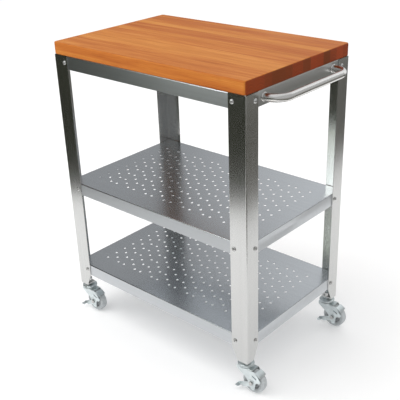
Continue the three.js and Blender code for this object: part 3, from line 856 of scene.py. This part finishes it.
def casters(zinc, steel, core, rubber):
    shapes = {
        "mount": ("race_cup", caster_mount(), zinc, "caster_zinc", 0.0, ROOT),
        "fork": ("fork_sheet", fork(), zinc, "caster_zinc", 0.5 * MM, "swivel"),
        "axle": ("axle_bolt", axle(), steel, "bolt_steel", 0.0, "swivel"),
        "wheel": ("wheel_core", wheel_core(), core, "wheel_core", 0.0, "roller"),
        "tyre": ("tyre_tread", tyre(), rubber, "tyre_rubber", 0.0, "roller"),
        "brake": ("brake_plate", brake(), zinc, "caster_zinc", 0.5 * MM, "pedal"),
    }
    for corner in CORNERS:
        stem = middle(f"caster_{corner}_mount")
        place = Matrix.Translation((stem.x, stem.y, 0))
        for part, (name, mesh, material, slot, bevel, body) in shapes.items():
            rides = body if body == ROOT else f"caster_{corner}_{body}"
            piece(f"{name}_{corner}", mesh.copy(), material, body=rides, bevel=bevel,
                  stands_for=[f"caster_{corner}_{part}"], place=place)


# ---- stage, light and camera --------------------------------------------
def plain(name, color, roughness, lift):
    """A plain paper surface; lift is a little glow of its own, so that shadows stay pale."""
    m = Material(name)
    m.set(color=(*color, 1.0), roughness=roughness, specular=0.2)
    m.give(m.shader.inputs["Emission Color"], (1.0, 1.0, 1.0, 1.0))
    m.give(m.shader.inputs["Emission Strength"], lift)
    return m.material


def floor():
    size = 14.0
    z = -0.5 * MM               # just under the tyres
    mesh = mesh_of([(-size, -size, z), (size, -size, z), (size, size, z), (-size, size, z)],
                   [(0, 1, 2, 3)])
    mesh.materials.append(plain("floor_paper", (0.86, 0.86, 0.86), 0.9, 0.18))
    made = bpy.data.objects.new("floor", mesh)
    bpy.context.scene.collection.objects.link(made)


ROOM = {"left": -1.9, "right": 1.08, "front_left": -0.475, "front_right": -1.965, "back": 1.7,
        "top": 2.6}
BAND = 0.62                     # the flats are dark below this height and lighter above
BAND_BELOW = 0.25               # the change starts this far under it
BAND_ABOVE = 0.45               # and ends this far over it
COOL = (0.97, 0.985, 1.0)


def reflection_flat(name, corners, low, high, fade=((0.0, 1.0), (1.0, 1.0)),
                    dark=COOL, band=BAND):
    """A studio flat that only gloss sees. Its glow goes from low to high with height; the
    high part is dimmed along its length through (place, share) stops."""
    m = Material(name)
    m.tree.nodes.remove(m.shader)
    local = m.axes(m.node("ShaderNodeTexCoord").outputs["Generated"])
    rise = m.span(m.axes()["Z"], band - BAND_BELOW, band + BAND_ABOVE, smooth=True)
    share = m.ramp(local["X"], [(at, (part, part, part)) for at, part in fade])
    upper = m.math("MULTIPLY", share, high)
    strength = m.math("ADD", m.math("MULTIPLY", upper, rise),
                      m.math("MULTIPLY", m.math("SUBTRACT", 1.0, rise), low))
    color = m.mix(rise, dark, COOL)
    glow = m.node("ShaderNodeEmission", {"Color": color, "Strength": strength})
    m.tree.links.new(glow.outputs[0], m.tree.nodes["Material Output"].inputs["Surface"])
    mesh = mesh_of(corners, [(0, 1, 2, 3)])
    mesh.materials.append(m.material)
    made = bpy.data.objects.new(name, mesh)
    bpy.context.scene.collection.objects.link(made)
    made.visible_camera = False
    made.visible_diffuse = False
    made.visible_transmission = False
    made.visible_volume_scatter = False
    made.visible_shadow = False


def reflection_room():
    x0, x1, y1, top = (ROOM[k] for k in ("left", "right", "back", "top"))
    left_y, right_y = ROOM["front_left"], ROOM["front_right"]

    def wall(ax, ay, bx, by):
        return [(ax, ay, 0.0), (bx, by, 0.0), (bx, by, top), (ax, ay, top)]

    reflection_flat("flat_front", wall(x0, left_y, x1, right_y), 0.045, 6.4,
                    ((0.30, 0.0), (0.40, 0.25), (0.46, 1.0), (0.50, 0.8), (0.57, 0.09)),
                    dark=(0.95, 1.0, 0.74), band=0.95)
    reflection_flat("flat_right", wall(x1, right_y, x1, y1), 0.14, 0.6, dark=(1.0, 0.97, 0.86))
    reflection_flat("flat_back", wall(x0, y1, x1, y1), 0.20, 1.36, ((0.0, 0.28), (1.0, 1.0)))
    reflection_flat("flat_left", wall(x0, left_y, x0, y1), 0.14, 0.42)
    reflection_flat("flat_top", [(x0, left_y, top), (x1, right_y, top), (x1, y1, top),
                                 (x0, y1, top)], 0.9, 0.9)


LIGHT_AIM = (0, 0, 0.5)


def area_light(name, at, size, power):
    """A lamp turned towards the cart, which lights it but isn't seen in gloss."""
    data = bpy.data.lights.new(name, "AREA")
    data.shape = "RECTANGLE"
    data.size, data.size_y = size
    data.energy = power
    made = bpy.data.objects.new(name, data)
    bpy.context.scene.collection.objects.link(made)
    made.location = at
    made.rotation_euler = (Vector(LIGHT_AIM) - Vector(at)).to_track_quat("-Z", "Y").to_euler()
    made.visible_glossy = False


def light():
    world = bpy.data.worlds.new("studio")
    bpy.context.scene.world = world
    world.use_nodes = True
    background = world.node_tree.nodes["Background"]
    background.inputs["Color"].default_value = (1.0, 1.0, 1.0, 1.0)
    background.inputs["Strength"].default_value = 0.96
    area_light("key_overhead", (-0.8, -1.2, 3.4), (2.4, 2.4), 32)
    area_light("fill_left", (-3.0, -2.4, 1.6), (2.0, 2.0), 26)


VIEW_PLACE = (1.4116, -1.5843, 1.4429)
VIEW_ANGLES = (42.37, -25.30, -2.07)        # yaw, pitch and roll in degrees
VIEW_LENS = 66.48


def camera():
    """The photograph's viewpoint, as yaw, pitch and roll about a fixed place."""
    yaw, pitch, roll = (math.radians(angle) for angle in VIEW_ANGLES)
    ahead = Vector((-math.sin(yaw) * math.cos(pitch), math.cos(yaw) * math.cos(pitch),
                    math.sin(pitch)))
    right = Vector((math.cos(yaw), math.sin(yaw), 0))
    up = right.cross(ahead)
    x_axis = right * math.cos(roll) + up * math.sin(roll)
    y_axis = -right * math.sin(roll) + up * math.cos(roll)
    data = bpy.data.cameras.new("camera")
    data.sensor_width = 36
    data.lens = VIEW_LENS
    made = bpy.data.objects.new("camera", data)
    bpy.context.scene.collection.objects.link(made)
    basis = Matrix((x_axis, y_axis, -ahead)).transposed().to_4x4()
    made.matrix_world = Matrix.Translation(VIEW_PLACE) @ basis
    bpy.context.scene.camera = made


# ---- the scene ----------------------------------------------------------
bpy.context.scene.view_settings.view_transform = "Standard"
leg_steel = steel_material("leg_steel", "Z", rough=0.20, tint=(0.60, 0.603, 0.595), spread=0.03,
                           bump=0.002)
apron_steel_x = steel_material("apron_steel_x", "X", rough=0.32, tint=(0.65, 0.68, 0.72),
                               anisotropic=0.6)
lip_steel = steel_material("lip_steel", "X", rough=0.34, tint=(0.58, 0.60, 0.62), spread=0.03,
                           anisotropic=0.6)
apron_steel_y = steel_material("apron_steel_y", "Y", rough=0.32)
shelf_steel = steel_material("shelf_steel", "X", rough=0.25, tint=(0.575, 0.60, 0.625), spread=0.03,
                             bump=0.003)
tube_steel = steel_material("handle_steel", "Y", rough=0.22, tint=(0.66, 0.65, 0.63), bump=0.01)
bolt_steel = zinc_material("bolt_steel", (0.64, 0.64, 0.63), 0.24)

worktop(wood_material())
for corner, signs in CORNERS.items():
    leg(corner, signs, leg_steel)
for side in ("front", "back", "left", "right"):
    apron(side, apron_steel_x if side in ("front", "back") else apron_steel_y)
shelf("middle_shelf", shelf_steel, lip_steel)
shelf("lower_shelf", shelf_steel, lip_steel)
handle(tube_steel)
bolts(bolt_steel)
hidden_screws(bolt_steel)
casters(zinc_material(), bolt_steel, rubber_material("wheel_core", (0.42, 0.44, 0.45), 0.5),
        rubber_material("tyre_rubber", (0.50, 0.53, 0.54)))
floor()
reflection_room()
light()
camera()
